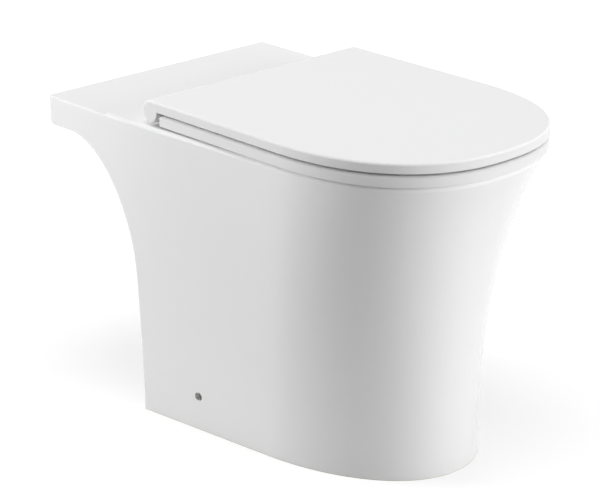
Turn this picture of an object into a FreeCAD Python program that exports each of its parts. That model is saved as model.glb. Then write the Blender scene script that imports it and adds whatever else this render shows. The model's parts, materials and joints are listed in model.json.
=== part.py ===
"""Close coupled toilet pan with a D-shaped seat and lid, in millimetres.

The floor is z = 0 and the front points to -Y. The origin lies on the floor
under the middle of the overall box.
"""
import FreeCAD, Part

import math
import os
from dataclasses import dataclass

V = FreeCAD.Vector

# Overall places along the pan
FRONT_Y = -312.0
BACK_Y = 312.0
RIM_Z = 402.5

# Outer skin of the china
WALL = 12.0
RIM_SLAB = 15.0
RIM_EDGE_R = 5.0
FOOT_HALF = 142.0
FOOT_TAPER = 0.1
FOOT_SIDE_Y = -10.0
FOOT_FRONT_Y = -244.0
FOOT_POWER = 2.05
TOP_HALF = 176.0
TOP_FLARE = 10.0
TOP_SIDE_Y = -100.0
TOP_FULL_Y = 200.0
TOP_SETBACK = 4.0
TOP_POWER = 2.3
SIDE_RISE = 1.1
FRONT_RISE = 3.0

# Open back under the cistern shelf
BACK_FOOT_Y = 164.0
BACK_CURVE_Z = 190.0
BACK_CURVE_Y = 273.0
SHELF_DEPTH = 39.0
SHELF_NOSE_R = 7.0
SHELF_SLAB = 26.0
WING_EDGE_R = 3.0

# Cistern shelf, a step lower than the hinge deck
SHELF_STEP = 2.5
SHELF_STEP_Y = 186.0
SHELF_CORNER_R = 30.0
SHELF_COVE_R = 2.4

# Bowl, trap and outlet
BOWL_HALF = 132.0
BOWL_FRONT_GAP = 42.0
BOWL_BACK_Y = 72.0
BOWL_WALL = 11.0
BOWL_POWER = 2.35
SUMP_Z = 142.0
SUMP_LEDGE = 2.0
TRAP_Y = 22.0
TRAP_R = 38.0
TRAP_BEND_R = 48.0
TRAP_RISE = 30.0
TRAP_WALL = 10.0
OUTLET_Z = 180.0
OUTLET_R = 51.0
OUTLET_Y = 215.0
OUTLET_LENGTH = 42.0

# Flush inlet and cistern bolts
INLET_Y = 212.0
INLET_R = 27.0
CISTERN_BOLT_SPAN = 154.0
CISTERN_BOLT_R = 6.0
DUCT_HALF = 32.0
DUCT_HEIGHT = 22.0
DUCT_WALL = 10.0

# Hinge line
HINGE_Y = 118.0
HINGE_Z = 419.5
HINGE_SPAN = 155.0
PIN_R = 4.0
PIN_REACH = 166.0
RUN_FIT = 0.05
BLOCK_WIDTH = 24.0
BLOCK_INNER = 12.0
BLOCK_HALF_Y = 9.0
EYE_R = 9.5
PILLAR_R = 6.0
PILLAR_TOP = 8.0
FLANGE_R = 15.0
FLANGE_T = 2.0
STUD_R = 4.0
STUD_LENGTH = 40.0
STUD_HOLE_R = 7.0
BUSH_LIP = 3.0
WASHER_R = 13.0
WASHER_T = 2.0
NUT_FLATS = 13.0
NUT_T = 7.0
BUTTON_R = 3.0
BUTTON_LENGTH = 9.0
BUTTON_SHOW = 3.0
BUTTON_TRAVEL = 2.5
BUTTON_ROD_R = 1.2
SPRING_R = 2.2
SPRING_WIRE_R = 0.3
SPRING_TURNS = 5
DAMPER_R = 8.5
DAMPER_LENGTH = 22.0

# Seat ring
RING_GAP = 2.0
RING_T = 13.5
RING_INSET = 1.0
RING_HOLE_HALF = 112.0
RING_HOLE_FRONT_GAP = 68.0
RING_HOLE_BACK_Y = 42.0
RING_REAR_GAP = 17.0
RING_EDGE_R = 4.0
LUG_WIDTH = 30.0
LUG_T = 9.0

# Lid
LID_GAP = 3.5
LID_SIDE = 12.5
LID_SKIN = 6.0
LID_RIM = 10.0
LID_HALF = 178.0
LID_SIDE_Y = -100.0
LID_POWER = 2.35
LID_EDGE_R = 3.0
LIP_SKIN = 3.5
LIP_DROP = 4.0
LIP_NOTCH_Y = 3.5
BARREL_END = 27.0

# Rubber buffers
BUFFER_R = 7.0
BUFFER_SINK = 2.0
BUFFER_INSET = 32.0
BUFFER_REAR_Y = 20.0
BUFFER_FRONT_INSET = 58.0
BUFFER_FRONT_GAP = 107.0

# Floor fixing
FIX_Y = 65.0
FIX_Z = 46.0
FIX_HOLE_R = 6.0
SLEEVE_WALL = 0.9
SLEEVE_SEAT = 6.0
SCREW_R = 2.9
SCREW_HEAD_R = 4.9
SCREW_HEAD_T = 3.5
BRACKET_GAP = 2.0
BRACKET_T = 14.0
BRACKET_WIDTH = 34.0
BRACKET_BASE = 34.0
BRACKET_FLOOR_T = 6.0
FLOOR_HOLE_R = 3.25
FLOOR_HOLE_SPAN = 212.0

# Smoothness of the free curves
OUTLINE_STEPS = 18
SKIN_LEVELS = 9
BOWL_LEVELS = 7
BOWL_STEPS = 24

RING_BOTTOM = RIM_Z + RING_GAP
RING_TOP = RING_BOTTOM + RING_T
LID_BOTTOM = RING_TOP + LID_GAP
LID_TOP = LID_BOTTOM + LID_SIDE
BARREL_R = LID_TOP - HINGE_Z
SHELF_Z = RIM_Z - SHELF_STEP
SHELF_UNDER = SHELF_Z - SHELF_DEPTH
RING_REAR_Y = HINGE_Y - RING_REAR_GAP
BUFFER_SPOTS = (
    (LID_HALF - BUFFER_INSET, BUFFER_REAR_Y),
    (LID_HALF - BUFFER_FRONT_INSET, FRONT_Y + BUFFER_FRONT_GAP),
)
SIDES = (("left", -1), ("right", 1))


@dataclass(frozen=True)
class Outline:
    """Plan of one level: straight sides that run into a rounded front.

    half and side_y place the front curve's widest point. taper widens the
    sides steadily towards the back, and flare does so softly up to full_y.
    """

    half: float
    side_y: float
    front_y: float
    power: float
    back_y: float
    taper: float = 0.0
    flare: float = 0.0
    full_y: float = 0.0

    def tangent_turn(self):
        """Turn along the front curve where it has the sides' taper."""
        slope = self.taper * (self.side_y - self.front_y) / self.half
        return math.atan(slope ** (1 / (2 - 2 / self.power)))

    def curve(self, turn):
        """Point of the front curve, from its widest place (0) to the apex."""
        x = self.half * max(math.cos(turn), 0.0) ** (2 / self.power)
        y = self.side_y - (self.side_y - self.front_y) * math.sin(turn) ** (2 / self.power)
        return x, y

    def side(self, y):
        """Half width of the straight side at one place."""
        x, start = self.curve(self.tangent_turn())
        straight = x + self.taper * (y - start)
        if not self.flare:
            return straight
        share = min(1.0, (y - start) / (self.full_y - start))
        return straight + self.flare * (1 - math.cos(math.pi * share)) / 2

    def point(self, u):
        """Right half of the plan, from the back corner (0) to the apex (1)."""
        first = self.tangent_turn()
        if u > 0.5:
            return self.curve(first + (math.pi / 2 - first) * (2 * u - 1))
        start = self.curve(first)[1]
        y = self.back_y + (start - self.back_y) * 2 * u
        return self.side(y), y


def box(x0, x1, y0, y1, z0, z1):
    """Box between two corners."""
    return Part.makeBox(x1 - x0, y1 - y0, z1 - z0, V(x0, y0, z0))


def rod_x(x0, x1, y, z, radius):
    """Cylinder along X between two ends."""
    return Part.makeCylinder(radius, x1 - x0, V(x0, y, z), V(1, 0, 0))


def rod_z(x, y, z0, z1, radius):
    """Upright cylinder between two heights."""
    return Part.makeCylinder(radius, z1 - z0, V(x, y, z0))


def on_side(sign, near, far):
    """X limits of a span that lies between two distances from the middle."""
    return sorted((sign * near, sign * far))


def spread(parameter_steps):
    """Evenly spaced values from 0 to 1."""
    return [i / parameter_steps for i in range(parameter_steps + 1)]


def plan_wire(half_points, z):
    """Closed wire of a half plan, its mirror image and a straight back."""
    right = [V(x, y, z) for x, y in half_points]
    left = [V(-x, y, z) for x, y in reversed(half_points[:-1])]
    curve = Part.BSplineCurve()
    curve.interpolate(right + left)
    return Part.Wire([curve.toShape(), Part.makeLine(left[-1], right[0])])


def foot_outline(inset):
    """Plan of the foot, or of the hollow inside it."""
    front_y = FOOT_FRONT_Y + inset
    return Outline(FOOT_HALF - inset, FOOT_SIDE_Y, front_y, FOOT_POWER, BACK_Y - inset, FOOT_TAPER)


def top_outline(inset):
    """Plan of the rim, or of the hollow inside it."""
    front_y = FRONT_Y + TOP_SETBACK + inset
    back_y = BACK_Y - inset
    return Outline(TOP_HALF - inset, TOP_SIDE_Y, front_y, TOP_POWER, back_y, 0.0, TOP_FLARE, TOP_FULL_Y)


def skin_solid(inset, z0, z1):
    """Body between the foot's plan and the rim's, flaring out more at the front."""
    foot, top = foot_outline(inset), top_outline(inset)
    wires = []
    for level in spread(SKIN_LEVELS):
        z = z0 + (z1 - z0) * level
        height = max(z, 0.0) / RIM_Z
        points = []
        for u in spread(2 * OUTLINE_STEPS):
            rise = height ** (SIDE_RISE + (FRONT_RISE - SIDE_RISE) * u)
            low, high = foot.point(u), top.point(u)
            points.append(tuple(a + (b - a) * rise for a, b in zip(low, high)))
        wires.append(plan_wire(points, z))
    return Part.makeLoft(wires, True)


def bowl_solid(grow):
    """Hollow of the bowl, or with a wall added its outside."""
    wires = []
    radius = TRAP_R + SUMP_LEDGE + grow
    front_y = FRONT_Y + BOWL_FRONT_GAP - grow
    for level in spread(BOWL_LEVELS):
        z = SUMP_Z - grow * (1 - level) + (RIM_Z - SUMP_Z) * level
        half = radius + (BOWL_HALF + grow - radius) * level ** 0.6
        back = TRAP_Y + radius + (BOWL_BACK_Y + grow - TRAP_Y - radius) * level ** 0.8
        front = TRAP_Y - radius + (front_y - TRAP_Y + radius) * level ** 0.7
        centre = TRAP_Y + (BOWL_BACK_Y - BOWL_HALF - TRAP_Y) * level ** 0.7
        power = 2 + (BOWL_POWER - 2) * level
        points = []
        for i in range(BOWL_STEPS):
            turn = 2 * math.pi * i / BOWL_STEPS
            s, c = math.sin(turn), math.cos(turn)
            reach = back - centre if s > 0 else centre - front
            x = half * math.copysign(abs(c) ** (2 / power), c)
            y = centre + reach * math.copysign(abs(s) ** (2 / power), s)
            points.append(V(x, y, z))
        curve = Part.BSplineCurve()
        curve.interpolate(points, True)
        wires.append(Part.Wire([curve.toShape()]))
    return Part.makeLoft(wires, True)


def trap_solid(radius, outlet_y):
    """Water trap: down from the bowl, round the bend, up and out to the back."""
    bend = TRAP_BEND_R
    low_z = OUTLET_Z - bend - TRAP_RISE
    rise_y = TRAP_Y + 2 * bend
    lean = bend * math.sqrt(0.5)
    start = V(0, TRAP_Y, SUMP_Z + TRAP_R * 0.1)
    down = V(0, TRAP_Y, low_z)
    up = V(0, rise_y, low_z)
    turn = V(0, rise_y, low_z + TRAP_RISE)
    out = V(0, rise_y + bend, OUTLET_Z)
    path = Part.Wire([
        Part.makeLine(start, down),
        Part.Arc(down, V(0, TRAP_Y + bend, low_z - bend), up).toShape(),
        Part.makeLine(up, turn),
        Part.Arc(turn, V(0, rise_y + bend - lean, OUTLET_Z - bend + lean), out).toShape(),
        Part.makeLine(out, V(0, outlet_y, OUTLET_Z)),
    ])
    ring = Part.Wire([Part.makeCircle(radius, start, V(0, 0, -1))])
    return path.makePipeShell([ring], True, False)


def back_relief():
    """Space behind the foot, curving back under the cistern shelf."""
    reach = 3 * BACK_Y
    low = V(-reach, BACK_FOOT_Y, -WALL)
    spring = V(-reach, BACK_FOOT_Y, BACK_CURVE_Z)
    centre = V(-reach, BACK_CURVE_Y, BACK_CURVE_Z)
    crown = V(-reach, BACK_CURVE_Y, SHELF_UNDER)
    nose = V(-reach, BACK_Y - SHELF_NOSE_R, SHELF_UNDER)
    nose_mid = V(-reach, BACK_Y - SHELF_NOSE_R * (1 - math.sqrt(0.5)), SHELF_UNDER + SHELF_NOSE_R * (1 - math.sqrt(0.5)))
    nose_end = V(-reach, BACK_Y, SHELF_UNDER + SHELF_NOSE_R)
    far_top = V(-reach, reach, SHELF_UNDER + SHELF_NOSE_R)
    far_low = V(-reach, reach, -WALL)
    curve = Part.Ellipse(crown, spring, centre)
    edges = [
        Part.makeLine(low, spring),
        Part.ArcOfEllipse(curve, 0, math.pi / 2).toShape(),
        Part.makeLine(crown, nose),
        Part.Arc(nose, nose_mid, nose_end).toShape(),
        Part.makeLine(nose_end, far_top),
        Part.makeLine(far_top, far_low),
        Part.makeLine(far_low, low),
    ]
    face = Part.Face(Part.Wire(Part.__sortEdges__(edges)))
    return face.extrude(V(2 * reach, 0, 0))


def shelf_step():
    """Space above the cistern shelf, with rounded front corners and a cove."""
    half = TOP_HALF + TOP_FLARE + RIM_EDGE_R
    blank = box(-half, half, SHELF_STEP_Y, BACK_Y + WALL, SHELF_Z, RIM_Z + WALL)
    corners = [e for e in blank.Edges if upright_at(e, SHELF_STEP_Y)]
    blank = blank.makeFillet(SHELF_CORNER_R, corners)
    cove = [e for e in blank.Edges if level_at(e, SHELF_Z) and e.BoundBox.YMin < SHELF_STEP_Y + SHELF_CORNER_R]
    cove = [e for e in cove if e.BoundBox.YMax < BACK_Y]
    return blank.makeFillet(SHELF_COVE_R, cove)


def upright_at(edge, y):
    """True for an upright edge at one place along the pan."""
    b = edge.BoundBox
    return b.ZLength > 1e-3 and b.XLength < 1e-3 and abs(b.YMin - y) < 1e-3 and b.YLength < 1e-3


def level_at(edge, z):
    """True for an edge that lies flat at one height."""
    b = edge.BoundBox
    return abs(b.ZMin - z) < 1e-3 and abs(b.ZMax - z) < 1e-3


def rear_edges(shape):
    """Long outer edges where the open back meets the sides."""
    found = []
    for edge in shape.Edges:
        b = edge.BoundBox
        on_curve = b.YMin > BACK_FOOT_Y - 1 and b.ZMax < SHELF_UNDER + SHELF_NOSE_R + 1 and b.ZMin > -1e-3
        if on_curve and b.XLength < FOOT_HALF / 2 and b.ZLength > 1:
            found.append(edge)
    return found


def pan_body():
    """China: skirt, rim slab, bowl, trap, cistern shelf and their holes."""
    body = skin_solid(0, 0, RIM_Z)
    body = body.makeFillet(RIM_EDGE_R, [e for e in body.Edges if level_at(e, RIM_Z)])
    body = body.cut(back_relief())
    body = body.makeFillet(WING_EDGE_R, rear_edges(body))
    body = body.cut(under_hollow())
    spigot = Part.makeCylinder(OUTLET_R, OUTLET_LENGTH, V(0, OUTLET_Y - OUTLET_LENGTH, OUTLET_Z), V(0, 1, 0))
    body = body.fuse(bowl_solid(BOWL_WALL)).fuse(trap_solid(TRAP_R + TRAP_WALL, OUTLET_Y)).fuse(spigot)
    body = body.cut(bowl_solid(0)).cut(trap_solid(TRAP_R, OUTLET_Y + WALL))
    body = body.cut(shelf_step())
    duct = box(-DUCT_HALF, DUCT_HALF, TRAP_Y, INLET_Y + INLET_R, duct_floor(), duct_floor() + DUCT_HEIGHT)
    holes = [duct, rod_z(0, INLET_Y, duct_floor(), RIM_Z, INLET_R)]
    for _, sign in SIDES:
        holes.append(rod_z(sign * CISTERN_BOLT_SPAN / 2, INLET_Y, BACK_CURVE_Z, RIM_Z, CISTERN_BOLT_R))
        holes.append(rod_z(sign * HINGE_SPAN / 2, HINGE_Y, BACK_CURVE_Z, RIM_Z, STUD_HOLE_R))
        holes.append(rod_x(*on_side(sign, fix_inner(), TOP_HALF), FIX_Y, FIX_Z, FIX_HOLE_R))
    return body.cut(holes).removeSplitter()


def duct_floor():
    """Height of the flush duct's floor."""
    return SHELF_Z - DUCT_WALL - DUCT_HEIGHT


def under_hollow():
    """Space inside the skirt, without the shelf's slab and the flush duct's casing."""
    hollow = skin_solid(WALL, -WALL, RIM_Z - RIM_SLAB)
    half = TOP_HALF + TOP_FLARE
    slab_y = HINGE_Y + WASHER_R + WALL
    casing = DUCT_HALF + DUCT_WALL
    hollow = hollow.cut(box(-half, half, slab_y, BACK_Y, SHELF_Z - SHELF_SLAB, RIM_Z))
    casing_end = INLET_Y + INLET_R + DUCT_WALL
    return hollow.cut(box(-casing, casing, TRAP_Y, casing_end, duct_floor() - DUCT_WALL, RIM_Z))


def fix_inner():
    """Distance from the middle to the skirt's inner face at the side fixing."""
    return foot_outline(WALL).side(FIX_Y)


def fix_outer():
    """Distance from the middle to the skirt's outer face at the side fixing."""
    return foot_outline(0).side(FIX_Y)


def floor_bracket(sign):
    """Angle bracket on the floor that takes the side screw."""
    face = fix_inner() - BRACKET_GAP
    back = face - BRACKET_T
    y0, y1 = FIX_Y - BRACKET_WIDTH / 2, FIX_Y + BRACKET_WIDTH / 2
    upright = box(*on_side(sign, back, face), y0, y1, 0, FIX_Z + BRACKET_T)
    base = box(*on_side(sign, back - BRACKET_BASE, back), y0, y1, 0, BRACKET_FLOOR_T)
    web = bracket_web(sign, back)
    bracket = upright.fuse([base, web])
    bracket = bracket.cut(rod_z(sign * FLOOR_HOLE_SPAN / 2, FIX_Y, 0, FIX_Z, FLOOR_HOLE_R))
    return bracket.cut(rod_x(*on_side(sign, back, face), FIX_Y, FIX_Z, SCREW_R)).removeSplitter()


def bracket_web(sign, back):
    """Two gussets beside the floor hole."""
    webs = []
    for y in (FIX_Y - BRACKET_WIDTH / 2, FIX_Y + BRACKET_WIDTH / 2 - BRACKET_FLOOR_T / 2):
        corner = V(sign * back, y, BRACKET_FLOOR_T)
        tip = V(sign * (back - BRACKET_BASE), y, BRACKET_FLOOR_T)
        top = V(sign * back, y, FIX_Z)
        face = Part.Face(Part.makePolygon([corner, tip, top, corner]))
        webs.append(face.extrude(V(0, BRACKET_FLOOR_T / 2, 0)))
    return Part.makeCompound(webs)


def fixing_sleeve(sign):
    """Sleeve in the skirt's hole, with a shoulder for the screw head."""
    start = fix_inner() - BRACKET_GAP
    end = fix_outer() - SLEEVE_WALL
    shoulder = start + SLEEVE_SEAT
    sleeve = rod_x(*on_side(sign, start, end), FIX_Y, FIX_Z, FIX_HOLE_R - RUN_FIT)
    head = rod_x(*on_side(sign, shoulder, end), FIX_Y, FIX_Z, FIX_HOLE_R - SLEEVE_WALL)
    return sleeve.cut([head, rod_x(*on_side(sign, start, end), FIX_Y, FIX_Z, SCREW_R + RUN_FIT)])


def side_screw(sign):
    """Screw from the skirt's side into the floor bracket."""
    shoulder = fix_inner() - BRACKET_GAP + SLEEVE_SEAT
    tip = fix_inner() - BRACKET_GAP - BRACKET_T
    shank = rod_x(*on_side(sign, tip, shoulder), FIX_Y, FIX_Z, SCREW_R)
    head = rod_x(*on_side(sign, shoulder, shoulder + SCREW_HEAD_T), FIX_Y, FIX_Z, SCREW_HEAD_R)
    middle = shoulder + SCREW_HEAD_T
    cross = []
    for long_y, long_z in ((SCREW_R, SCREW_R / 4), (SCREW_R / 4, SCREW_R)):
        x0, x1 = on_side(sign, middle - SCREW_R / 2, middle)
        cross.append(box(x0, x1, FIX_Y - long_y, FIX_Y + long_y, FIX_Z - long_z, FIX_Z + long_z))
    return shank.fuse(head).cut(cross)


def hinge_pillar(sign):
    """Stud through the deck with a flange and the pillar that the seat drops on."""
    x = sign * HINGE_SPAN / 2
    flange = rod_z(x, HINGE_Y, RIM_Z, RIM_Z + FLANGE_T, FLANGE_R)
    pillar = rod_z(x, HINGE_Y, RIM_Z, RIM_Z + FLANGE_T + PILLAR_TOP, PILLAR_R)
    tips = [e for e in pillar.Edges if level_at(e, RIM_Z + FLANGE_T + PILLAR_TOP)]
    pillar = pillar.makeChamfer(FLANGE_T / 2, tips)
    stud = rod_z(x, HINGE_Y, RIM_Z - STUD_LENGTH, RIM_Z, STUD_R)
    return flange.fuse([pillar, stud]).removeSplitter()


def stud_bush(sign):
    """Rubber bush that centres the stud in the deck's hole."""
    x = sign * HINGE_SPAN / 2
    under = RIM_Z - RIM_SLAB
    sleeve = rod_z(x, HINGE_Y, under, RIM_Z, STUD_HOLE_R - RUN_FIT)
    lip = rod_z(x, HINGE_Y, under - BUSH_LIP, under, WASHER_R)
    return sleeve.fuse(lip).cut(rod_z(x, HINGE_Y, under - BUSH_LIP, RIM_Z, STUD_R + RUN_FIT))


def stud_washer(sign):
    """Steel washer under the bush."""
    x = sign * HINGE_SPAN / 2
    top = RIM_Z - RIM_SLAB - BUSH_LIP
    disc = rod_z(x, HINGE_Y, top - WASHER_T, top, WASHER_R)
    return disc.cut(rod_z(x, HINGE_Y, top - WASHER_T, top, STUD_R + RUN_FIT))


def stud_nut(sign):
    """Hexagon nut that clamps the stud."""
    x = sign * HINGE_SPAN / 2
    top = RIM_Z - RIM_SLAB - BUSH_LIP - WASHER_T
    reach = NUT_FLATS / math.sqrt(3)
    angles = [math.pi * i / 3 for i in range(7)]
    corners = [V(x + reach * math.cos(a), HINGE_Y + reach * math.sin(a), top - NUT_T) for a in angles]
    nut = Part.Face(Part.makePolygon(corners)).extrude(V(0, 0, NUT_T))
    return nut.cut(rod_z(x, HINGE_Y, top - NUT_T, top, STUD_R + RUN_FIT))


def block_span():
    """Distances from the middle to the hinge block's two ends."""
    middle = HINGE_SPAN / 2
    return middle - BLOCK_WIDTH / 2 - BLOCK_INNER, middle + BLOCK_WIDTH / 2


def button_z():
    """Height of the release button's axis."""
    return RIM_Z + FLANGE_T + BUTTON_R + FLANGE_T


def hinge_block(sign):
    """Block that drops on the pillar and carries the hinge pin."""
    near, far = block_span()
    bottom = RIM_Z + FLANGE_T
    x0, x1 = on_side(sign, near, far)
    foot = box(x0, x1, HINGE_Y - BLOCK_HALF_Y, HINGE_Y + BLOCK_HALF_Y, bottom, HINGE_Z)
    block = foot.fuse(rod_x(x0, x1, HINGE_Y, HINGE_Z, EYE_R))
    pillar_top = bottom + PILLAR_TOP + RUN_FIT
    bore = rod_z(sign * HINGE_SPAN / 2, HINGE_Y, bottom, pillar_top, PILLAR_R + RUN_FIT)
    button = rod_x(*on_side(sign, near, HINGE_SPAN / 2), HINGE_Y, button_z(), BUTTON_R + RUN_FIT)
    pin = rod_x(*on_side(sign, pin_start(), far), HINGE_Y, HINGE_Z, PIN_R)
    return block.cut([bore, button, pin]).removeSplitter()


def pin_start():
    """Distance from the middle to the hinge pin's inner end."""
    near, far = block_span()
    return (near + far) / 2


def hinge_pin(sign):
    """Steel pin that the ring and the lid turn on."""
    return rod_x(*on_side(sign, pin_start(), PIN_REACH), HINGE_Y, HINGE_Z, PIN_R)


def soft_close_damper(sign):
    """Rotary damper on the pin, beside the hinge block."""
    start = block_span()[1]
    x0, x1 = on_side(sign, start, start + DAMPER_LENGTH)
    body = rod_x(x0, x1, HINGE_Y, HINGE_Z, DAMPER_R)
    return body.cut(rod_x(x0, x1, HINGE_Y, HINGE_Z, PIN_R + RUN_FIT))


def release_button(sign):
    """Push button in the block's inner end, with a rod towards the pillar."""
    near = block_span()[0]
    inner_end = near + BUTTON_LENGTH - BUTTON_SHOW
    cap = rod_x(*on_side(sign, near - BUTTON_SHOW, inner_end), HINGE_Y, button_z(), BUTTON_R)
    rod_end = HINGE_SPAN / 2 - PILLAR_R - BUTTON_TRAVEL - RUN_FIT * 4
    return cap.fuse(rod_x(*on_side(sign, inner_end, rod_end), HINGE_Y, button_z(), BUTTON_ROD_R))


def button_spring(sign):
    """Coil spring round the button's rod."""
    start = block_span()[0] + BUTTON_LENGTH - BUTTON_SHOW
    end = HINGE_SPAN / 2 - PILLAR_R - BUTTON_TRAVEL
    radius = SPRING_R
    pitch = (end - start - 2 * SPRING_WIRE_R) / SPRING_TURNS
    helix = Part.makeHelix(pitch, pitch * SPRING_TURNS, radius)
    ring = Part.Wire([Part.makeCircle(SPRING_WIRE_R, V(radius, 0, 0), V(0, 1, 0))])
    coil = Part.Wire(helix).makePipeShell([ring], True, True)
    coil.rotate(V(0, 0, 0), V(0, 1, 0), 90 * sign)
    coil.translate(V(sign * (start + SPRING_WIRE_R), HINGE_Y, button_z()))
    return coil


def plate(half, side_y, front_y, power, back_y, z0, z1):
    """Flat D-shaped plate between two heights."""
    outline = Outline(half, side_y, front_y, power, back_y)
    corner = V(half, back_y, z0), V(half, side_y, z0), V(-half, side_y, z0), V(-half, back_y, z0)
    right = [outline.point(0.5 + u / 2) for u in spread(OUTLINE_STEPS)]
    points = [V(x, y, z0) for x, y in right] + [V(-x, y, z0) for x, y in reversed(right[:-1])]
    curve = Part.BSplineCurve()
    curve.interpolate(points)
    wire = Part.Wire([
        Part.makeLine(corner[0], corner[1]),
        curve.toShape(),
        Part.makeLine(corner[2], corner[3]),
        Part.makeLine(corner[3], corner[0]),
    ])
    return Part.Face(wire).extrude(V(0, 0, z1 - z0))


def seat_ring():
    """Seat ring with its opening and the two hinge lugs."""
    half = LID_HALF - RING_INSET
    front = FRONT_Y + RING_INSET
    blank = plate(half, LID_SIDE_Y, front, LID_POWER, RING_REAR_Y, RING_BOTTOM, RING_TOP)
    hole = ring_opening()
    ring = blank.cut(hole)
    ring = ring.makeFillet(RING_EDGE_R, [e for e in ring.Edges if level_at(e, RING_TOP)])
    lugs, bores = [], []
    for _, sign in SIDES:
        x0, x1 = on_side(sign, lug_start(), lug_start() + LUG_WIDTH)
        lug = box(x0, x1, RING_REAR_Y - RING_EDGE_R, HINGE_Y, HINGE_Z - EYE_R, HINGE_Z - EYE_R + LUG_T)
        lugs += [lug, rod_x(x0, x1, HINGE_Y, HINGE_Z, EYE_R)]
        bores.append(rod_x(x0, x1, HINGE_Y, HINGE_Z, PIN_R + RUN_FIT))
    return ring.fuse(lugs).cut(bores).cut(buffer_seats(RING_BOTTOM)).removeSplitter()


def lug_start():
    """Distance from the middle to the ring lug's inner face."""
    return block_span()[1] + DAMPER_LENGTH + RING_INSET


def ring_opening():
    """Opening of the seat ring."""
    front = FRONT_Y + RING_HOLE_FRONT_GAP
    points = []
    centre = RING_HOLE_BACK_Y - RING_HOLE_HALF
    for i in range(BOWL_STEPS):
        turn = 2 * math.pi * i / BOWL_STEPS
        s, c = math.sin(turn), math.cos(turn)
        reach = RING_HOLE_BACK_Y - centre if s > 0 else centre - front
        points.append(V(RING_HOLE_HALF * c, centre + reach * s, RING_BOTTOM))
    curve = Part.BSplineCurve()
    curve.interpolate(points, True)
    return Part.Face(Part.Wire([curve.toShape()])).extrude(V(0, 0, RING_T))


def buffer_seats(z):
    """Pockets that the buffers are pressed into."""
    return [rod_z(sign * x, y, z, z + BUFFER_SINK, BUFFER_R) for x, y in BUFFER_SPOTS for _, sign in SIDES]


def buffers(z, gap):
    """Rubber buffers under a ring or a lid, one solid each."""
    return Part.makeCompound([
        rod_z(sign * x, y, z - gap, z + BUFFER_SINK, BUFFER_R) for x, y in BUFFER_SPOTS for _, sign in SIDES
    ])


def seat_lid():
    """Lid with a rounded rear barrel, hollow where the hinge works."""
    top = plate(LID_HALF, LID_SIDE_Y, FRONT_Y, LID_POWER, HINGE_Y, LID_BOTTOM, LID_TOP)
    rounded = [e for e in top.Edges if level_at(e, LID_TOP) and e.BoundBox.YMin < HINGE_Y - 1]
    top = top.makeFillet(LID_EDGE_R, rounded)
    barrel = rod_x(-LID_HALF, LID_HALF, HINGE_Y, HINGE_Z, BARREL_R)
    barrel = barrel.makeFillet(LID_EDGE_R, [e for e in barrel.Edges if e.BoundBox.XLength < 1e-3])
    lid = top.fuse(barrel).removeSplitter()
    under = LID_TOP - LID_SKIN
    inner = LID_HALF - LID_RIM
    middle = LID_HALF - BARREL_END
    recess_end = HINGE_Y - BARREL_R - LIP_SKIN
    recess = plate(inner, LID_SIDE_Y, FRONT_Y + LID_RIM, LID_POWER, recess_end, LID_BOTTOM, under)
    rear = HINGE_Y + BARREL_R
    cuts = [
        recess,
        box(-middle, middle, recess_end - LID_RIM, HINGE_Y, HINGE_Z - BARREL_R, under),
        box(-middle, middle, HINGE_Y - BARREL_R, rear, HINGE_Z - BARREL_R, HINGE_Z + LIP_DROP),
        rod_x(-middle, middle, HINGE_Y, HINGE_Z, BARREL_R - LIP_SKIN),
        rod_x(-PIN_REACH, PIN_REACH, HINGE_Y, HINGE_Z, PIN_R + RUN_FIT),
    ]
    near, far = block_span()
    for _, sign in SIDES:
        x0, x1 = on_side(sign, near - BUTTON_SHOW - LID_RIM, far + RING_INSET)
        cuts.append(box(x0, x1, HINGE_Y + LIP_NOTCH_Y, rear, HINGE_Z - BARREL_R, LID_TOP))
    return lid.cut(cuts).removeSplitter()


def main():
    """Write every piece to its own file."""
    os.makedirs("parts", exist_ok=True)
    pieces = {
        "pan_body": pan_body(),
        "seat_ring": seat_ring(),
        "ring_buffers": buffers(RING_BOTTOM, RING_GAP),
        "seat_lid": seat_lid(),
        "lid_buffers": buffers(LID_BOTTOM, LID_GAP),
    }
    paired = (
        floor_bracket, fixing_sleeve, side_screw, hinge_pillar, stud_bush, stud_washer, stud_nut,
        hinge_block, hinge_pin, soft_close_damper, release_button, button_spring,
    )
    for make in paired:
        for side, sign in SIDES:
            pieces[f"{make.__name__}_{side}"] = make(sign)
    for name, shape in pieces.items():
        shape.exportStep(f"parts/{name}.step")
        print(name, shape.isValid(), len(shape.Solids), round(shape.Volume / 1000, 2))


main()
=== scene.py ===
import json
import logging
import math
from dataclasses import dataclass
from enum import Enum
from functools import cache

import bmesh
import bpy
from mathutils import Matrix, Vector


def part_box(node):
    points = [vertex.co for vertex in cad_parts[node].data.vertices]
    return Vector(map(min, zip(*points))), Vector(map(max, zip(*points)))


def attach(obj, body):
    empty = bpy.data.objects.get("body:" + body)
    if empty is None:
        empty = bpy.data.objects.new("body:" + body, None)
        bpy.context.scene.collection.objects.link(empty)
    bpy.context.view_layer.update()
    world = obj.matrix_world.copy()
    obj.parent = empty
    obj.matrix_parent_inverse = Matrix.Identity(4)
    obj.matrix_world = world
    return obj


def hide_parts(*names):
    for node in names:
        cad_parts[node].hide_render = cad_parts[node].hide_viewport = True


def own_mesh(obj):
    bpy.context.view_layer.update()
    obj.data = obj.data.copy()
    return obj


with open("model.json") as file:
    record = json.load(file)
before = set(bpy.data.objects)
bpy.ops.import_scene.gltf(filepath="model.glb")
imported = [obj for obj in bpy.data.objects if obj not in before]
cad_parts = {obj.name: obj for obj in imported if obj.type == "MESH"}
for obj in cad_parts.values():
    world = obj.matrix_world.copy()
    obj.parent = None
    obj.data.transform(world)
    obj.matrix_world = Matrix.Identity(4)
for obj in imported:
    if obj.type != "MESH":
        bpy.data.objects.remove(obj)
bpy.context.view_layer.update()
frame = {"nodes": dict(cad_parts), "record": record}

MM = 0.001
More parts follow.
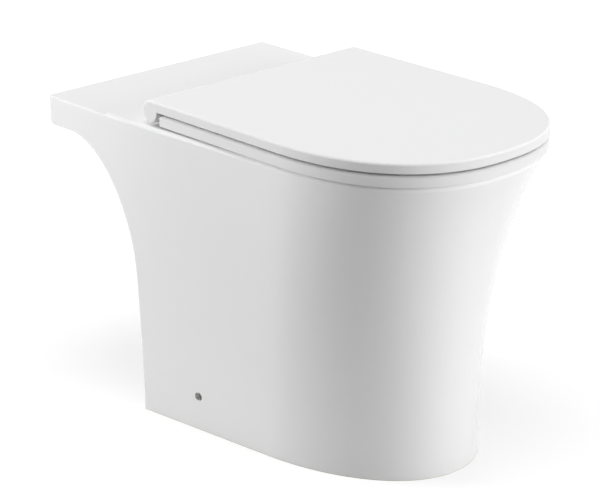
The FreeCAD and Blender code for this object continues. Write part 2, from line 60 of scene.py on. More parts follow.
MERGE_DISTANCE = 1e-6
LOG = logging.getLogger("toilet_pan")

VECTOR = "NodeSocketVector"
FLOAT = "NodeSocketFloat"
COLOR = "NodeSocketColor"
Sockets = tuple[tuple[str, str], ...]
Tone = tuple[float, float, float, float]


def grey(level: float) -> Tone:
    """Neutral tone of one level."""
    return (level, level, level, 1.0)


WHITE = grey(1.0)


class Slot(Enum):
    """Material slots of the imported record."""

    CHINA = "china"
    SEAT = "seat"
    BUFFER = "buffer"
    NYLON = "nylon"
    STEEL = "steel"
    CHROME = "chrome"
    RUBBER = "rubber"


class Side(Enum):
    """The two hands of a paired piece, with the sign of its X."""

    LEFT = -1
    RIGHT = 1

    def node(self, name: str) -> str:
        """Name of this hand's CAD node."""
        return f"{name}_{self.name.lower()}"


@dataclass
class Graph:
    """A node tree under construction.

    Attributes:
        tree: The material's or the group's node tree.
    """

    tree: bpy.types.NodeTree

    def add(self, kind: str, **settings: object) -> bpy.types.Node:
        """Places one node.

        Args:
            kind: The node's Blender type.
            **settings: Properties set on the node itself.

        Returns:
            The new node.
        """
        node = self.tree.nodes.new(kind)
        for key, value in settings.items():
            setattr(node, key, value)
        return node

    def link(self, source: bpy.types.NodeSocket, target: bpy.types.NodeSocket) -> None:
        """Joins an output to an input."""
        self.tree.links.new(source, target)

    def group(self, tree: bpy.types.NodeTree, **values: object) -> bpy.types.Node:
        """Places a shared effect with its own values.

        Args:
            tree: The effect's node group.
            **values: Input values, with underscores for the spaces of their names.

        Returns:
            The group node.
        """
        node = self.add("ShaderNodeGroup")
        node.node_tree = tree
        for key, value in values.items():
            node.inputs[key.replace("_", " ")].default_value = value
        return node

    def cover(
        self, target: bpy.types.NodeSocket, value: object, mask: bpy.types.NodeSocket,
    ) -> None:
        """Lays a constant over what feeds a socket.

        Args:
            target: The socket, already linked.
            value: The colour or number that covers it.
            mask: One where it covers.
        """
        kind = "RGBA" if target.type == "RGBA" else "FLOAT"
        mix = self.add("ShaderNodeMix", data_type=kind)
        factor, under, over = [socket for socket in mix.inputs if socket.enabled]
        over.default_value = value
        self.link(mask, factor)
        self.link(target.links[0].from_socket, under)
        self.link(next(socket for socket in mix.outputs if socket.enabled), target)


class Effects:
    """Shader effects that several finishes share, each built once.

    Attributes:
        TONE_DETAIL: Layers of noise in the drift of tone.
        POLISH_DETAIL: Layers of noise in the drift of polish.
        POLISH_ROUGHNESS: Strength of its finer layers.
        POLISH_SPAN: Noise that gives the lowest and the highest roughness.
        WAVE_DETAIL: Layers of noise in the waves.
        GRAIN_DETAIL: Layers of noise in the grain.
    """

    TONE_DETAIL = 3.0
    POLISH_DETAIL = 5.0
    POLISH_ROUGHNESS = 0.6
    POLISH_SPAN = (0.3, 0.7)
    WAVE_DETAIL = 1.0
    GRAIN_DETAIL = 2.0

    @staticmethod
    def _start(
        name: str, inputs: Sockets, outputs: Sockets,
    ) -> tuple[Graph, bpy.types.Node, bpy.types.Node]:
        """Opens a node group with its sockets.

        Args:
            name: The group's name.
            inputs: Pairs of socket name and socket type.
            outputs: Pairs of socket name and socket type.

        Returns:
            The graph, its input node and its output node.
        """
        tree = bpy.data.node_groups.new(name, "ShaderNodeTree")
        for label, kind in inputs:
            tree.interface.new_socket(label, in_out="INPUT", socket_type=kind)
        for label, kind in outputs:
            tree.interface.new_socket(label, in_out="OUTPUT", socket_type=kind)
        graph = Graph(tree)
        return graph, graph.add("NodeGroupInput"), graph.add("NodeGroupOutput")

    @classmethod
    @cache
    def tone_drift(cls) -> bpy.types.NodeTree:
        """Slow drift between two tones.

        Returns:
            The group, with inputs Vector, Scale, Light and Dark and output Color.
        """
        graph, ins, outs = cls._start(
            "tone_drift",
            (("Vector", VECTOR), ("Scale", FLOAT), ("Light", COLOR), ("Dark", COLOR)),
            (("Color", COLOR),),
        )
        noise = graph.add("ShaderNodeTexNoise")
        noise.inputs["Detail"].default_value = cls.TONE_DETAIL
        mix = graph.add("ShaderNodeMix", data_type="RGBA")
        graph.link(ins.outputs["Vector"], noise.inputs["Vector"])
        graph.link(ins.outputs["Scale"], noise.inputs["Scale"])
        graph.link(noise.outputs["Fac"], mix.inputs["Factor"])
        graph.link(ins.outputs["Light"], mix.inputs["A"])
        graph.link(ins.outputs["Dark"], mix.inputs["B"])
        graph.link(mix.outputs["Result"], outs.inputs["Color"])
        return graph.tree

    @classmethod
    @cache
    def rub_drift(cls) -> bpy.types.NodeTree:
        """Uneven polish, from handling and cleaning.

        Returns:
            The group, with inputs Vector, Scale, Low and High and output Value.
        """
        graph, ins, outs = cls._start(
            "rub_drift",
            (("Vector", VECTOR), ("Scale", FLOAT), ("Low", FLOAT), ("High", FLOAT)),
            (("Value", FLOAT),),
        )
        noise = graph.add("ShaderNodeTexNoise")
        noise.inputs["Detail"].default_value = cls.POLISH_DETAIL
        noise.inputs["Roughness"].default_value = cls.POLISH_ROUGHNESS
        span = graph.add("ShaderNodeMapRange")
        graph.link(ins.outputs["Vector"], noise.inputs["Vector"])
        graph.link(ins.outputs["Scale"], noise.inputs["Scale"])
        graph.link(noise.outputs["Fac"], span.inputs["Value"])
        span.inputs["From Min"].default_value = cls.POLISH_SPAN[0]
        span.inputs["From Max"].default_value = cls.POLISH_SPAN[1]
        graph.link(ins.outputs["Low"], span.inputs["To Min"])
        graph.link(ins.outputs["High"], span.inputs["To Max"])
        graph.link(span.outputs["Result"], outs.inputs["Value"])
        return graph.tree

    @classmethod
    @cache
    def skin_relief(cls) -> bpy.types.NodeTree:
        """Slow waves with a fine grain on them.

        Returns:
            The group, with inputs Vector, Wave Scale, Grain Scale and Grain Share and
            output Height.
        """
        graph, ins, outs = cls._start(
            "skin_relief",
            (("Vector", VECTOR), ("Wave Scale", FLOAT), ("Grain Scale", FLOAT),
             ("Grain Share", FLOAT)),
            (("Height", FLOAT),),
        )
        wave = graph.add("ShaderNodeTexNoise")
        wave.inputs["Detail"].default_value = cls.WAVE_DETAIL
        grain = graph.add("ShaderNodeTexNoise")
        grain.inputs["Detail"].default_value = cls.GRAIN_DETAIL
        mix = graph.add("ShaderNodeMix", data_type="FLOAT")
        for noise, scale in ((wave, "Wave Scale"), (grain, "Grain Scale")):
            graph.link(ins.outputs["Vector"], noise.inputs["Vector"])
            graph.link(ins.outputs[scale], noise.inputs["Scale"])
        graph.link(ins.outputs["Grain Share"], mix.inputs["Factor"])
        graph.link(wave.outputs["Fac"], mix.inputs["A"])
        graph.link(grain.outputs["Fac"], mix.inputs["B"])
        graph.link(mix.outputs["Result"], outs.inputs["Height"])
        return graph.tree

    @classmethod
    @cache
    def foot_band(cls) -> bpy.types.NodeTree:
        """Ragged mask of a band along the bottom edge.

        Returns:
            The group, with inputs Vector, Height, Ragged and Scale and output Mask.
        """
        graph, ins, outs = cls._start(
            "foot_band",
            (("Vector", VECTOR), ("Height", FLOAT), ("Ragged", FLOAT), ("Scale", FLOAT)),
            (("Mask", FLOAT),),
        )
        split = graph.add("ShaderNodeSeparateXYZ")
        noise = graph.add("ShaderNodeTexNoise")
        waver = graph.add("ShaderNodeMath", operation="MULTIPLY")
        edge = graph.add("ShaderNodeMath", operation="ADD")
        below = graph.add("ShaderNodeMath", operation="LESS_THAN")
        graph.link(ins.outputs["Vector"], split.inputs["Vector"])
        graph.link(ins.outputs["Vector"], noise.inputs["Vector"])
        graph.link(ins.outputs["Scale"], noise.inputs["Scale"])
        graph.link(noise.outputs["Fac"], waver.inputs[0])
        graph.link(ins.outputs["Ragged"], waver.inputs[1])
        graph.link(waver.outputs["Value"], edge.inputs[0])
        graph.link(ins.outputs["Height"], edge.inputs[1])
        graph.link(split.outputs["Z"], below.inputs[0])
        graph.link(edge.outputs["Value"], below.inputs[1])
        graph.link(below.outputs["Value"], outs.inputs["Mask"])
        return graph.tree

    @classmethod
    @cache
    def upright_faces(cls) -> bpy.types.NodeTree:
        """Soft mask of the faces that stand upright in the piece's own frame, where shade is
        painted.

        Returns:
            The group, with inputs Normal, Upright and Level and output Mask.
        """
        graph, ins, outs = cls._start(
            "upright_faces",
            (("Normal", VECTOR), ("Upright", FLOAT), ("Level", FLOAT)),
            (("Mask", FLOAT),),
        )
        split = graph.add("ShaderNodeSeparateXYZ")
        tilt = graph.add("ShaderNodeMath", operation="ABSOLUTE")
        span = graph.add("ShaderNodeMapRange")
        span.inputs["To Min"].default_value = 1.0
        span.inputs["To Max"].default_value = 0.0
        graph.link(ins.outputs["Normal"], split.inputs["Vector"])
        graph.link(split.outputs["Z"], tilt.inputs[0])
        graph.link(tilt.outputs["Value"], span.inputs["Value"])
        graph.link(ins.outputs["Upright"], span.inputs["From Min"])
        graph.link(ins.outputs["Level"], span.inputs["From Max"])
        graph.link(span.outputs["Result"], outs.inputs["Mask"])
        return graph.tree


@dataclass(frozen=True)
class Finish:
    """One surface finish.

    Attributes:
        name: The material's name.
        light: Lighter tone.
        dark: Darker tone that it drifts to.
        tone_scale: Drifts of tone per metre.
        polish: Lowest and highest roughness.
        polish_scale: Drifts of polish per metre.
        wave_scale: Waves per metre.
        grain_scale: Grains per metre.
        grain_share: Share of the grain in the relief.
        relief: Depth of the relief in metres.
        metallic: One for bare metal.
        ior: Index of refraction.
        coat: Weight of the clear layer.
        coat_roughness: Roughness of the clear layer.
        subsurface: Weight of the light that goes under the skin.
        subsurface_scale: How far that light goes.
    """

    name: str
    light: Tone
    dark: Tone
    tone_scale: float
    polish: tuple[float, float]
    polish_scale: float
    wave_scale: float
    grain_scale: float
    grain_share: float
    relief: float
    metallic: float = 0.0
    ior: float = 1.5
    coat: float = 0.0
    coat_roughness: float = 0.05
    subsurface: float = 0.0
    subsurface_scale: float = 2 * MM

    def material(self) -> bpy.types.Material:
        """The finish's material, built on the first call.

        Returns:
            The material.
        """
        found = bpy.data.materials.get(self.name)
        if found is not None:
            return found
        material = bpy.data.materials.new(self.name)
        material.use_nodes = True
        graph = Graph(material.node_tree)
        shader = material.node_tree.nodes["Principled BSDF"]
        place = graph.add("ShaderNodeTexCoord").outputs["Object"]
        self.shade(graph, shader, place)
        return material

    def shade(self, graph: Graph, shader: bpy.types.Node, place: bpy.types.NodeSocket) -> None:
        """Sets and links the shader's sockets.

        Args:
            graph: The material's graph.
            shader: Its Principled shader.
            place: The surface's own coordinates.
        """
        shader.inputs["Metallic"].default_value = self.metallic
        shader.inputs["IOR"].default_value = self.ior
        shader.inputs["Coat Weight"].default_value = self.coat
        shader.inputs["Coat Roughness"].default_value = self.coat_roughness
        shader.inputs["Subsurface Weight"].default_value = self.subsurface
        shader.inputs["Subsurface Scale"].default_value = self.subsurface_scale
        tone = graph.group(
            Effects.tone_drift(), Scale=self.tone_scale, Light=self.light, Dark=self.dark,
        )
        low, high = self.polish
        polish = graph.group(Effects.rub_drift(), Scale=self.polish_scale, Low=low, High=high)
        relief = graph.group(
            Effects.skin_relief(),
            Wave_Scale=self.wave_scale, Grain_Scale=self.grain_scale, Grain_Share=self.grain_share,
        )
        bump = graph.add("ShaderNodeBump")
        bump.inputs["Strength"].default_value = 1.0
        bump.inputs["Distance"].default_value = self.relief
        for node in (tone, polish, relief):
            graph.link(place, node.inputs["Vector"])
        graph.link(relief.outputs["Height"], bump.inputs["Height"])
        graph.link(tone.outputs["Color"], shader.inputs["Base Color"])
        graph.link(polish.outputs["Value"], shader.inputs["Roughness"])
        graph.link(bump.outputs["Normal"], shader.inputs["Normal"])


@dataclass(frozen=True)
class GlazedChina(Finish):
    """White glaze over fired clay, left bare where the foot stands.

    Attributes:
        bisque: Tone of the bare clay.
        bisque_roughness: Roughness of the bare clay.
        bare_height: Height of the bare band above the floor.
        bare_ragged: How far the glaze line wanders.
        bare_scale: Wanders per metre.
    """

    bisque: Tone = (0.66, 0.62, 0.55, 1.0)
    bisque_roughness: float = 0.85
    bare_height: float = 0.4 * MM
    bare_ragged: float = 1.2 * MM
    bare_scale: float = 60.0

    def shade(self, graph: Graph, shader: bpy.types.Node, place: bpy.types.NodeSocket) -> None:
        """Adds the bare foot to the plain finish.

        Args:
            graph: The material's graph.
            shader: Its Principled shader.
            place: The surface's own coordinates.
        """
        super().shade(graph, shader, place)
        band = graph.group(
            Effects.foot_band(),
            Height=self.bare_height, Ragged=self.bare_ragged, Scale=self.bare_scale,
        )
        graph.link(place, band.inputs["Vector"])
        graph.cover(shader.inputs["Base Color"], self.bisque, band.outputs["Mask"])
        graph.cover(shader.inputs["Roughness"], self.bisque_roughness, band.outputs["Mask"])


@dataclass(frozen=True)
class SeatMouldingPaintedShade(Finish):
    """White moulding with painted shade: its upright sides are painted greyer than its flat faces,
    in place of the shade the lamps put on them.

    Attributes:
        painted_side_shade: Painted shade, the grey laid on the upright sides.
        upright: Slope of the normal up to which a face counts as upright.
        level: Slope of the normal from which a face counts as flat.
    """

    # Painted shade: grey laid on the upright sides, not a colour of the moulding.
    painted_side_shade: Tone = grey(0.75)
    upright: float = 0.3
    level: float = 0.9

    def shade(self, graph: Graph, shader: bpy.types.Node, place: bpy.types.NodeSocket) -> None:
        """Paints shade on the upright sides over the plain finish.

        Args:
            graph: The material's graph.
            shader: Its Principled shader.
            place: The surface's own coordinates.
        """
        super().shade(graph, shader, place)
        # Painted shade: the upright sides are greyed where the lamps leave them darker than the
        # top.
        edges = graph.group(Effects.upright_faces(), Upright=self.upright, Level=self.level)
        graph.link(place.node.outputs["Normal"], edges.inputs["Normal"])
        graph.cover(shader.inputs["Base Color"], self.painted_side_shade, edges.outputs["Mask"])


CHINA = GlazedChina(
    "china_glaze", light=grey(0.83), dark=grey(0.82), tone_scale=7.0,
    polish=(0.12, 0.20), polish_scale=14.0, wave_scale=9.0,
    grain_scale=320.0, grain_share=0.02, relief=0.25 * MM, ior=1.52, coat=0.6,
)
# Seat finish: white moulding with painted shade on its upright sides.
SEAT = SeatMouldingPaintedShade(
    "seat_moulding", light=grey(0.838), dark=grey(0.832), tone_scale=5.0,
    polish=(0.30, 0.36), polish_scale=6.0, wave_scale=6.0,
    grain_scale=1400.0, grain_share=0.02, relief=0.02 * MM,
)
BUFFER = Finish(
    "soft_buffer", light=(0.76, 0.76, 0.74, 1.0), dark=(0.70, 0.70, 0.68, 1.0), tone_scale=120.0,
    polish=(0.42, 0.55), polish_scale=200.0, wave_scale=300.0,
    grain_scale=2500.0, grain_share=0.5, relief=0.03 * MM, ior=1.45, subsurface=0.4,
)
NYLON = Finish(
    "moulded_nylon", light=(0.72, 0.72, 0.70, 1.0), dark=(0.66, 0.66, 0.64, 1.0), tone_scale=60.0,
    polish=(0.45, 0.6), polish_scale=140.0, wave_scale=200.0,
    grain_scale=2200.0, grain_share=0.6, relief=0.04 * MM,
)
STEEL = Finish(
    "bright_steel", light=grey(0.60), dark=grey(0.50), tone_scale=80.0,
    polish=(0.30, 0.42), polish_scale=260.0, wave_scale=120.0,
    grain_scale=3000.0, grain_share=0.7, relief=0.02 * MM, metallic=1.0,
)
CHROME = Finish(
    "plated_metal", light=grey(0.78), dark=grey(0.72), tone_scale=60.0,
    polish=(0.06, 0.16), polish_scale=160.0, wave_scale=90.0,
    grain_scale=1800.0, grain_share=0.3, relief=0.01 * MM, metallic=1.0,
)
RUBBER = Finish(
    "black_rubber", light=grey(0.030), dark=grey(0.018), tone_scale=90.0,
    polish=(0.6, 0.8), polish_scale=180.0, wave_scale=200.0,
    grain_scale=2600.0, grain_share=0.6, relief=0.05 * MM,
)
PLUG = Finish(
    "plug_gloss", light=CHINA.light, dark=CHINA.dark, tone_scale=CHINA.tone_scale,
    polish=CHINA.polish, polish_scale=CHINA.polish_scale, wave_scale=CHINA.wave_scale,
    grain_scale=CHINA.grain_scale, grain_share=CHINA.grain_share, relief=0.05 * MM,
    ior=CHINA.ior, coat=CHINA.coat,
)
FINISHES = {
    Slot.CHINA: CHINA, Slot.SEAT: SEAT, Slot.BUFFER: BUFFER, Slot.NYLON: NYLON,
    Slot.STEEL: STEEL, Slot.CHROME: CHROME, Slot.RUBBER: RUBBER,
}


def body_of(node: str) -> str:
    """Name of the body that carries a CAD node."""
    bodies = frame["record"]["behaviour"]["bodies"]
    return next(body for body, nodes in bodies.items() if node in nodes)


@dataclass
class Dresser:
    """Makes finished pieces.

    Attributes:
        crease: Angle in degrees above which an edge stays crisp.
        flat: Angle in degrees under which neighbouring faces count as one flat face.
        edge_steps: Facets across a softened edge.
    """

    crease: float = 32.0
    flat: float = 0.05
    edge_steps: int = 2

    def soften(self, shape: bmesh.types.BMesh, width: float) -> None:
        """Rounds the outward edges of a merged copy.

        Args:
            shape: The copy.
            width: How far the rounding reaches from an edge.
        """
        bmesh.ops.dissolve_limit(
            shape, angle_limit=math.radians(self.flat), verts=shape.verts, edges=shape.edges,
        )
        limit = math.radians(self.crease)
        edges = [
            edge for edge in shape.edges
            if edge.is_manifold and edge.is_convex and edge.calc_face_angle(0.0) >= limit
        ]
        bmesh.ops.bevel(
            shape, geom=edges, offset=width, offset_type="OFFSET", affect="EDGES",
            segments=self.edge_steps, profile=0.5, material=-1,
        )

    def made(self, name: str, shape: bmesh.types.BMesh, finish: Finish) -> bpy.types.Object:
        """An object of a mesh, smooth up to its creases.

        Args:
            name: The object's name.
            shape: Its mesh under construction, which is used up.
            finish: Its finish.

        Returns:
            The object.
        """
        limit = math.radians(self.crease)
        for face in shape.faces:
            face.smooth = True
            face.material_index = 0
        for line in shape.edges:
            line.smooth = line.calc_face_angle(0.0) < limit
        mesh = bpy.data.meshes.new(name)
        shape.to_mesh(mesh)
        shape.free()
        mesh.materials.append(finish.material())
        piece = bpy.data.objects.new(name, mesh)
        bpy.context.scene.collection.objects.link(piece)
        return piece

    def polished(self, node: str, slot: Slot, edge: float = 0.0) -> bpy.types.Object:
        """A merged, smooth copy of a node that stands for it.

        Args:
            node: The CAD node.
            slot: The record's slot of its finish.
            edge: Width of the rounding on its outward edges, if any.

        Returns:
            The piece.
        """
        shape = bmesh.new()
        shape.from_mesh(frame["nodes"][node].data)
        bmesh.ops.remove_doubles(shape, verts=shape.verts, dist=MERGE_DISTANCE)
        if edge:
            self.soften(shape, edge)
        piece = self.made(f"{node}_skin", shape, FINISHES[slot])
        weighted = piece.modifiers.new("even_normals", "WEIGHTED_NORMAL")
        weighted.keep_sharp = True
        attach(piece, body_of(node))
        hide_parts(node)
        LOG.info("%s: %d faces in %s", node, len(piece.data.polygons), slot.value)
        return piece

    def added(
        self, name: str, shape: bmesh.types.BMesh, carrier: str, slot: Slot, finish: Finish,
    ) -> None:
        """Adds a new piece that rides with a CAD node.

        Args:
            name: The piece's name.
            shape: Its mesh under construction, which is used up.
            carrier: The CAD node that carries it.
            slot: The record's slot of its material.
            finish: Its finish.
        """
        piece = self.made(name, shape, finish)
        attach(piece, body_of(carrier))
        LOG.info("%s: %d faces in %s", name, len(piece.data.polygons), slot.value)


@dataclass
class ChinaPan:
    """The glazed body with its bowl, trap and shelf.

    Attributes:
        dresser: Makes the pieces.
        inlet_radius: Radius of the shelf's flush hole.
        bolt_radius: Radius of the shelf's bolt holes.
        bolt_offset: Their distance from the middle.
    """

    dresser: Dresser
    inlet_radius: float = 27.0 * MM
    bolt_radius: float = 6.0 * MM
    bolt_offset: float = 77.0 * MM

    def dress(self) -> None:
        """Glazes the body and plugs its shelf."""
        self.dresser.polished("pan_body", Slot.CHINA)
        ShelfPlug(self.dresser, "flush_hole_plug", 0.0, self.inlet_radius).build()
        for side in Side:
            place = side.value * self.bolt_offset
            ShelfPlug(self.dresser, side.node("bolt_hole_plug"), place, self.bolt_radius).build()


@dataclass
class ShelfPlug:
    """Push-in cap that closes a hole of the shelf while no cistern stands on it.

    Attributes:
        dresser: Makes the piece.
        name: The plug's name.
        x: Sideways place of the hole.
        hole_radius: Radius of the hole.
        y: Place of the hole along the pan.
        top: Height of the shelf's face.
        gap: Clearance to the hole's wall.
        edge: Rounding of the cap's edge.
        cap: Thickness of the cap.
        wall: Thickness of the skirt under it.
        depth: Depth of the skirt.
        steps: Facets round the plug.
    """

    dresser: Dresser
    name: str
    x: float
    hole_radius: float
    y: float = 212.0 * MM
    top: float = 400.0 * MM
    gap: float = 0.05 * MM
    edge: float = 0.15 * MM
    cap: float = 2.0 * MM
    wall: float = 1.6 * MM
    depth: float = 9.0 * MM
    steps: int = 96

    def build(self) -> None:
        """Turns the plug."""
        radius = self.hole_radius - self.gap
        inner = radius - self.wall
        profile = (
            (0.0, 0.0), (radius - self.edge, 0.0), (radius, -self.edge), (radius, -self.depth),
            (inner, -self.depth), (inner, -self.cap), (0.0, -self.cap),
        )
        middle = Vector((self.x, self.y, self.top))
        shape = bmesh.new()
        line = [shape.verts.new(middle + Vector((out, 0.0, up))) for out, up in profile]
        edges = [shape.edges.new(pair) for pair in zip(line, line[1:])]
        bmesh.ops.spin(
            shape, geom=line + edges, cent=middle, axis=(0.0, 0.0, 1.0), angle=2 * math.pi,
            steps=self.steps, use_merge=True,
        )
        bmesh.ops.remove_doubles(shape, verts=shape.verts, dist=MERGE_DISTANCE)
        bmesh.ops.recalc_face_normals(shape, faces=shape.faces)
        self.dresser.added(self.name, shape, "pan_body", Slot.SEAT, PLUG)


@dataclass
class FloorFixing:
    """Bracket, sleeve and screw that hold one side to the floor.

    Attributes:
        dresser: Makes the smooth pieces.
        side: Which hand.
        moulded_edge: Rounding of the moulded edges.
        screw_edge: Rounding of the screw's and its sleeve's edges.
    """

    dresser: Dresser
    side: Side
    moulded_edge: float = 0.4 * MM
    screw_edge: float = 0.2 * MM

    def dress(self) -> None:
        """Finishes the fixing."""
        self.dresser.polished(self.side.node("floor_bracket"), Slot.NYLON, self.moulded_edge)
        self.dresser.polished(self.side.node("fixing_sleeve"), Slot.NYLON, self.screw_edge)
        self.dresser.polished(self.side.node("side_screw"), Slot.STEEL, self.screw_edge)


@dataclass
class SeatHinge:
    """Stud, block, pin, damper and release button of one hinge.

    Attributes:
        dresser: Makes the smooth pieces.
        side: Which hand.
        stud_radius: Radius of the stud.
        thread_pitch: Rise of the thread in one turn.
        thread_flank: Rise of one flank of the thread.
        thread_crest: Height of the thread above the stud.
        thread_root: Depth of its root inside the stud.
        thread_lead: Plain length at the stud's tip.
        thread_steps: Facets in one turn.
        button_travel: How far the release button goes in; not used.
        pieces: Its CAD nodes, their slots and the rounding of their edges.
    """

    dresser: Dresser
    side: Side
    stud_radius: float = 4.0 * MM
    thread_pitch: float = 1.25 * MM
    thread_flank: float = 0.5 * MM
    thread_crest: float = 0.35 * MM
    thread_root: float = 0.15 * MM
    thread_lead: float = 0.8 * MM
    thread_steps: int = 28
    button_travel: float = 2.5 * MM
    pieces: tuple[tuple[str, Slot, float], ...] = (
        ("hinge_pillar", Slot.STEEL, 0.3 * MM),
        ("stud_bush", Slot.RUBBER, 0.3 * MM),
        ("stud_washer", Slot.STEEL, 0.2 * MM),
        ("stud_nut", Slot.STEEL, 0.5 * MM),
        ("hinge_block", Slot.CHROME, 0.6 * MM),
        ("hinge_pin", Slot.STEEL, 0.4 * MM),
        ("soft_close_damper", Slot.NYLON, 0.4 * MM),
        ("release_button", Slot.CHROME, 0.4 * MM),
    )

    def dress(self) -> None:
        """Finishes the hinge."""
        for name, slot, edge in self.pieces:
            self.dresser.polished(self.side.node(name), slot, edge)
        self.set_spring()
        self.cut_thread()

    def set_spring(self) -> None:
        """Replaces the spring with a smooth steel copy that has a mesh of its own."""
        node = self.side.node("button_spring")
        spring = self.dresser.polished(node, Slot.STEEL)
        self.side.node("button")
        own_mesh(spring)

    def cut_thread(self) -> None:
        """Winds the thread on the stud's free end, under the nut."""
        node = self.side.node("hinge_pillar")
        low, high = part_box(node)
        start = low.z + self.thread_lead
        turns = int((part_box(self.side.node("stud_nut"))[0].z - start) / self.thread_pitch)
        middle = Vector(((low.x + high.x) / 2, (low.y + high.y) / 2, 0.0))
        shape = bmesh.new()
        profile = (
            (self.stud_radius - self.thread_root, 0.0),
            (self.stud_radius + self.thread_crest, self.thread_flank),
            (self.stud_radius - self.thread_root, 2 * self.thread_flank),
        )
        corners = [shape.verts.new(middle + Vector((out, 0.0, start + up))) for out, up in profile]
        loop = [shape.edges.new((corners[i - 1], corners[i])) for i in range(len(corners))]
        bmesh.ops.spin(
            shape, geom=corners + loop, cent=middle, axis=(0.0, 0.0, 1.0),
            angle=2 * math.pi * turns, dvec=(0.0, 0.0, self.thread_pitch / self.thread_steps),
            steps=turns * self.thread_steps, use_merge=False,
        )
        ends = [line for line in shape.edges if line.is_boundary]
        bmesh.ops.holes_fill(shape, edges=ends, sides=len(profile))
        bmesh.ops.recalc_face_normals(shape, faces=shape.faces)
        self.dresser.added(self.side.node("stud_thread"), shape, node, Slot.STEEL, STEEL)


@dataclass
class SeatSet:
    """Seat ring and lid with their buffers.

    Attributes:
        dresser: Makes the smooth pieces.
        moulded_edge: Rounding of the ring's and the lid's crisp edges.
        buffer_edge: Rounding of the buffers.
    """

    dresser: Dresser
    moulded_edge: float = 0.4 * MM
    buffer_edge: float = 0.9 * MM

    def dress(self) -> None:
        """Finishes the seat."""
        self.dresser.polished("seat_ring", Slot.SEAT, self.moulded_edge)
        self.dresser.polished("seat_lid", Slot.SEAT, self.moulded_edge)
        self.dresser.polished("ring_buffers", Slot.BUFFER, self.buffer_edge)
        self.dresser.polished("lid_buffers", Slot.BUFFER, self.buffer_edge)


@dataclass(frozen=True)
class Lamp:
    """One large soft lamp, aimed at the pan's foot and left out of reflections.

    Attributes:
        name: The lamp's name.
        bearing: Degrees round from the camera, positive to the camera's right.
        height: Degrees above the horizon.
        power: Power in watts.
        size: Side of its square in metres.
        distance: How far it stands from the pan.
    """

    name: str
    bearing: float
    height: float
    power: float
    size: float = 2.0
    distance: float = 4.6

    def hang(self, camera_at: Vector) -> None:
        """Hangs the lamp.

        Args:
            camera_at: Where the camera stands.
        """
        data = bpy.data.lights.new(self.name, "AREA")
        data.shape = "SQUARE"
        data.size = self.size
        data.energy = self.power
        turn = math.atan2(camera_at.y, camera_at.x) + math.radians(self.bearing)
        rise = math.radians(self.height)
        level = math.cos(rise)
        direction = Vector((math.cos(turn) * level, math.sin(turn) * level, math.sin(rise)))
        lamp = bpy.data.objects.new(self.name, data)
        lamp.location = direction * self.distance
        lamp.rotation_euler = direction.to_track_quat("Z", "Y").to_euler()
        lamp.visible_glossy = False
        bpy.context.scene.collection.objects.link(lamp)
        LOG.info("%s: %.0f W", self.name, self.power)


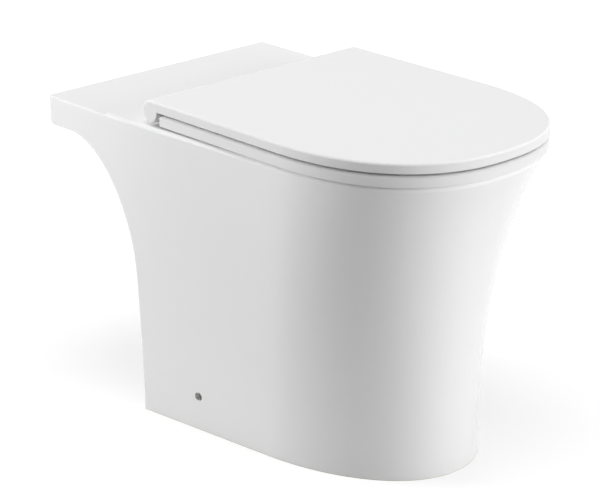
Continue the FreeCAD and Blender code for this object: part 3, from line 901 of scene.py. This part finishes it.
@dataclass
class Studio:
    """Floor, soft lights and the camera of the catalogue view.

    Attributes:
        camera_at: Where the camera stands.
        camera_right: Its right-hand direction.
        camera_up: Its upward direction.
        camera_back: Its direction away from the view.
        lens: Focal length in millimetres.
        sensor: Width of the sensor in millimetres.
        floor_half: Half the floor's side.
        floor_cells: Faces along the floor's side.
        floor_tone: Colour of the floor.
        floor_roughness: Roughness of the floor.
        floor_glow: Glow, seen but lighting nothing, that brings the lit floor to white.
        glow_near: Distance from the pan up to which the floor keeps that glow.
        glow_far: Distance from which the floor glows white.
        ambient: Strength of the world's even light.
        lamps: The soft lamps.
    """

    camera_at: tuple[float, float, float] = (-1.9063, -1.9858, 1.2663)
    camera_right: tuple[float, float, float] = (0.72786, -0.68571, 0.0)
    camera_up: tuple[float, float, float] = (0.24268, 0.25760, 0.93526)
    camera_back: tuple[float, float, float] = (-0.64133, -0.68075, 0.35391)
    lens: float = 138.85
    sensor: float = 36.0
    floor_half: float = 14.0
    floor_cells: int = 8
    floor_tone: Tone = grey(0.44)
    floor_roughness: float = 0.9
    floor_glow: float = 0.62
    glow_near: float = 0.9
    glow_far: float = 2.6
    ambient: float = 0.02
    lamps: tuple[Lamp, ...] = (
        Lamp("lamp_left", -97.0, 13.0, 209.0),
        Lamp("lamp_right", 62.0, 14.0, 171.0),
        Lamp("lamp_back", 180.0, 46.0, 40.0),
        Lamp("lamp_overhead", -10.0, 80.0, 103.0),
    )

    def build(self) -> None:
        """Sets up the whole studio."""
        bpy.context.scene.view_settings.view_transform = "Standard"
        self.make_floor()
        self.make_world()
        for lamp in self.lamps:
            lamp.hang(Vector(self.camera_at))
        self.make_camera()

    def make_floor(self) -> None:
        """Lays a pale floor that keeps the pan's shadow."""
        mesh = bpy.data.meshes.new("studio_floor")
        shape = bmesh.new()
        bmesh.ops.create_grid(
            shape, x_segments=self.floor_cells, y_segments=self.floor_cells, size=self.floor_half,
        )
        shape.to_mesh(mesh)
        shape.free()
        mesh.materials.append(self.floor_material())
        floor = bpy.data.objects.new("studio_floor", mesh)
        bpy.context.scene.collection.objects.link(floor)
        LOG.info("studio_floor: %.1f m square", 2 * self.floor_half)

    def floor_material(self) -> bpy.types.Material:
        """Pale matt floor whose glow rises to white away from the pan.

        Returns:
            The material.
        """
        material = bpy.data.materials.new("studio_floor")
        material.use_nodes = True
        graph = Graph(material.node_tree)
        shader = material.node_tree.nodes["Principled BSDF"]
        shader.inputs["Base Color"].default_value = self.floor_tone
        shader.inputs["Roughness"].default_value = self.floor_roughness
        shader.inputs["Specular IOR Level"].default_value = 0.0
        shader.inputs["Emission Color"].default_value = WHITE
        place = graph.add("ShaderNodeTexCoord")
        reach = graph.add("ShaderNodeVectorMath", operation="LENGTH")
        rise = graph.add("ShaderNodeMapRange", interpolation_type="SMOOTHSTEP")
        rise.inputs["From Min"].default_value = self.glow_near
        rise.inputs["From Max"].default_value = self.glow_far
        rise.inputs["To Min"].default_value = self.floor_glow
        rise.inputs["To Max"].default_value = 1.0
        seen = graph.add("ShaderNodeLightPath")
        glow = graph.add("ShaderNodeMath", operation="MULTIPLY")
        graph.link(place.outputs["Object"], reach.inputs[0])
        graph.link(reach.outputs["Value"], rise.inputs["Value"])
        graph.link(self.sum_of_seen(graph, seen), glow.inputs[0])
        graph.link(rise.outputs["Result"], glow.inputs[1])
        graph.link(glow.outputs["Value"], shader.inputs["Emission Strength"])
        return material

    @staticmethod
    def sum_of_seen(graph: Graph, path: bpy.types.Node) -> bpy.types.NodeSocket:
        """One where a camera, glossy or transmitted ray arrives.

        Args:
            graph: The tree that the sum is built in.
            path: Its Light Path node.

        Returns:
            The summed value.
        """
        first = graph.add("ShaderNodeMath", operation="ADD")
        second = graph.add("ShaderNodeMath", operation="ADD", use_clamp=True)
        graph.link(path.outputs["Is Camera Ray"], first.inputs[0])
        graph.link(path.outputs["Is Glossy Ray"], first.inputs[1])
        graph.link(first.outputs["Value"], second.inputs[0])
        graph.link(path.outputs["Is Transmission Ray"], second.inputs[1])
        return second.outputs["Value"]

    def make_world(self) -> None:
        """White to the eye and in reflections, an even low light on the rest."""
        world = bpy.data.worlds.new("studio_world")
        world.use_nodes = True
        bpy.context.scene.world = world
        graph = Graph(world.node_tree)
        shader = world.node_tree.nodes["Background"]
        shader.inputs["Color"].default_value = WHITE
        path = graph.add("ShaderNodeLightPath")
        span = graph.add("ShaderNodeMapRange")
        span.inputs["To Min"].default_value = self.ambient
        span.inputs["To Max"].default_value = 1.0
        graph.link(self.sum_of_seen(graph, path), span.inputs["Value"])
        graph.link(span.outputs["Result"], shader.inputs["Strength"])

    def make_camera(self) -> None:
        """Stands the camera at the catalogue view."""
        data = bpy.data.cameras.new("catalogue_view")
        data.sensor_width = self.sensor
        data.lens = self.lens
        camera = bpy.data.objects.new("catalogue_view", data)
        axes = Matrix((self.camera_right, self.camera_up, self.camera_back)).transposed()
        camera.matrix_world = Matrix.Translation(Vector(self.camera_at)) @ axes.to_4x4()
        bpy.context.scene.collection.objects.link(camera)
        bpy.context.scene.camera = camera


def main() -> None:
    """Dresses every sub-assembly and sets up the studio."""
    logging.basicConfig(level=logging.INFO, format="%(name)s %(message)s")
    dresser = Dresser()
    ChinaPan(dresser).dress()
    for side in Side:
        FloorFixing(dresser, side).dress()
        SeatHinge(dresser, side).dress()
    SeatSet(dresser).dress()
    Studio().build()


if __name__ == "__main__":
    main()
